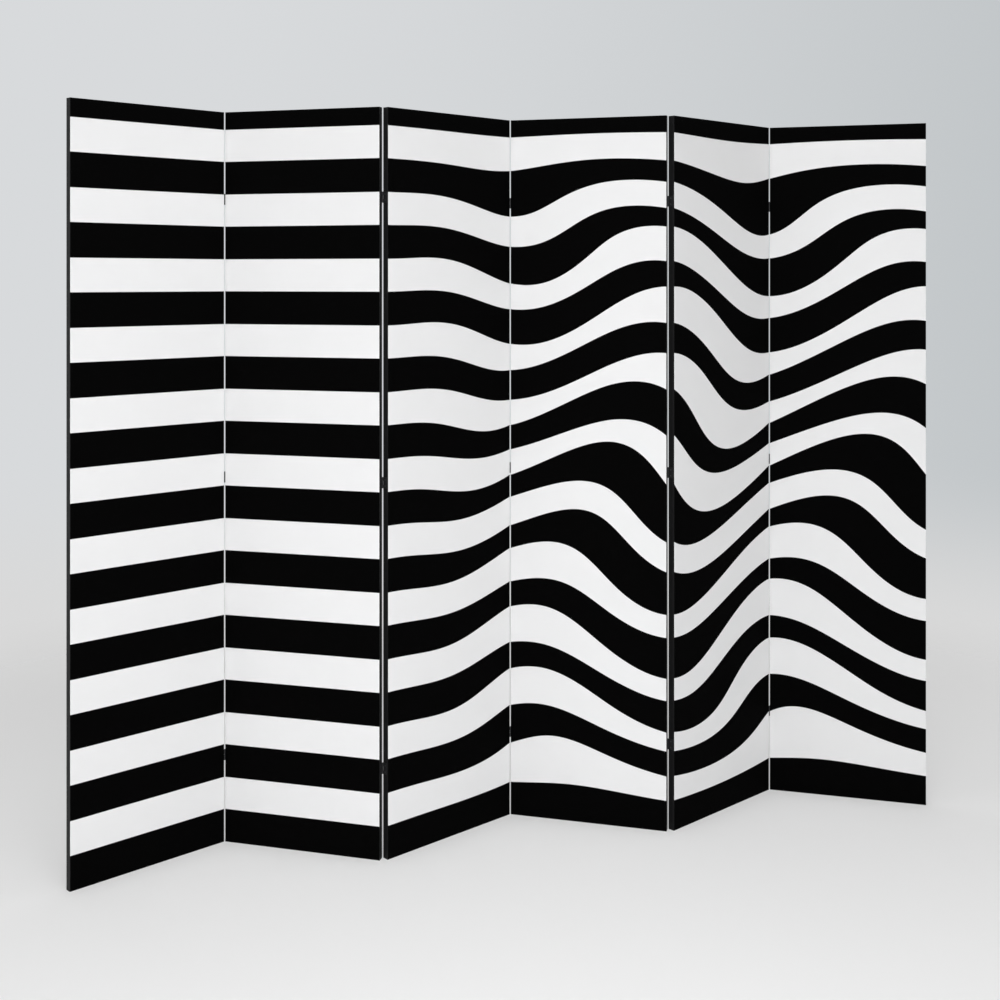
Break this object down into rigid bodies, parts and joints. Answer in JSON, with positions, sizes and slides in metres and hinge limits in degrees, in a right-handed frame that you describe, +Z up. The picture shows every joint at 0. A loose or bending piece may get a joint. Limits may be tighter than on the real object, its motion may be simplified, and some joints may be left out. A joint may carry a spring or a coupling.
{
  "type": "folding screen",
  "caption": "Free-standing folding screen of hinged panels, each a tenoned wooden frame with printed cloth on both faces.",
  "frame": {"origin": "on the floor, under the middle of the row of panels as it stands in its zigzag", "axes": "+X along the row to the right as seen from the front, +Y from the front to the back, +Z up"},
  "size_m": [2.1784, 0.2188, 1.8],
  "materials": {
    "frame_wood": "painted black, satin",
    "front_print": "matt woven cloth printed with black and white bands",
    "back_print": "matt woven cloth printed with black and white bands",
    "hinge_steel": "black, satin",
    "screw_steel": "black oxide"
  },
  "bodies": {
    "panel_1": {"panel_1_left_stile": "frame_wood", "panel_1_right_stile": "frame_wood", "panel_1_end_rails": "frame_wood", "panel_1_cross_rails": "frame_wood", "panel_1_front_canvas": "front_print", "panel_1_back_canvas": "back_print", "panel_1_hinge_screws": "screw_steel", "fold_1_left_leaves": "hinge_steel", "fold_1_pins": "hinge_steel"},
    "panel_2": {"panel_2_left_stile": "frame_wood", "panel_2_right_stile": "frame_wood", "panel_2_end_rails": "frame_wood", "panel_2_cross_rails": "frame_wood", "panel_2_front_canvas": "front_print", "panel_2_back_canvas": "back_print", "panel_2_hinge_screws": "screw_steel", "fold_1_right_leaves": "hinge_steel", "fold_2_left_leaves": "hinge_steel"},
    "panel_3": {"panel_3_left_stile": "frame_wood", "panel_3_right_stile": "frame_wood", "panel_3_end_rails": "frame_wood", "panel_3_cross_rails": "frame_wood", "panel_3_front_canvas": "front_print", "panel_3_back_canvas": "back_print", "panel_3_hinge_screws": "screw_steel", "fold_2_right_leaves": "hinge_steel", "fold_2_pins": "hinge_steel", "fold_3_left_leaves": "hinge_steel", "fold_3_pins": "hinge_steel"},
    "panel_4": {"panel_4_left_stile": "frame_wood", "panel_4_right_stile": "frame_wood", "panel_4_end_rails": "frame_wood", "panel_4_cross_rails": "frame_wood", "panel_4_front_canvas": "front_print", "panel_4_back_canvas": "back_print", "panel_4_hinge_screws": "screw_steel", "fold_3_right_leaves": "hinge_steel", "fold_4_left_leaves": "hinge_steel"},
    "panel_5": {"panel_5_left_stile": "frame_wood", "panel_5_right_stile": "frame_wood", "panel_5_end_rails": "frame_wood", "panel_5_cross_rails": "frame_wood", "panel_5_front_canvas": "front_print", "panel_5_back_canvas": "back_print", "panel_5_hinge_screws": "screw_steel", "fold_4_right_leaves": "hinge_steel", "fold_4_pins": "hinge_steel", "fold_5_left_leaves": "hinge_steel", "fold_5_pins": "hinge_steel"},
    "panel_6": {"panel_6_left_stile": "frame_wood", "panel_6_right_stile": "frame_wood", "panel_6_end_rails": "frame_wood", "panel_6_cross_rails": "frame_wood", "panel_6_front_canvas": "front_print", "panel_6_back_canvas": "back_print", "panel_6_hinge_screws": "screw_steel", "fold_5_right_leaves": "hinge_steel"}
  },
  "joints": [
    {"name": "fold_3", "type": "hinge", "parent": "panel_3", "child": "panel_4", "pos_m": [0, 0.09397, 0.9], "axis": [0, 0, -1], "range_deg": [-60, 120]},
    {"name": "fold_4", "type": "hinge", "parent": "panel_4", "child": "panel_5", "pos_m": [0.36353, -0.09397, 0.9], "axis": [0, 0, 1], "range_deg": [-60, 120]},
    {"name": "fold_5", "type": "hinge", "parent": "panel_5", "child": "panel_6", "pos_m": [0.72706, 0.09397, 0.9], "axis": [0, 0, -1], "range_deg": [-60, 120]},
    {"name": "fold_2", "type": "hinge", "parent": "panel_3", "child": "panel_2", "pos_m": [-0.36353, -0.09397, 0.9], "axis": [0, 0, -1], "range_deg": [-60, 120]},
    {"name": "fold_1", "type": "hinge", "parent": "panel_2", "child": "panel_1", "pos_m": [-0.72706, 0.09397, 0.9], "axis": [0, 0, 1], "range_deg": [-60, 120]}
  ]
}
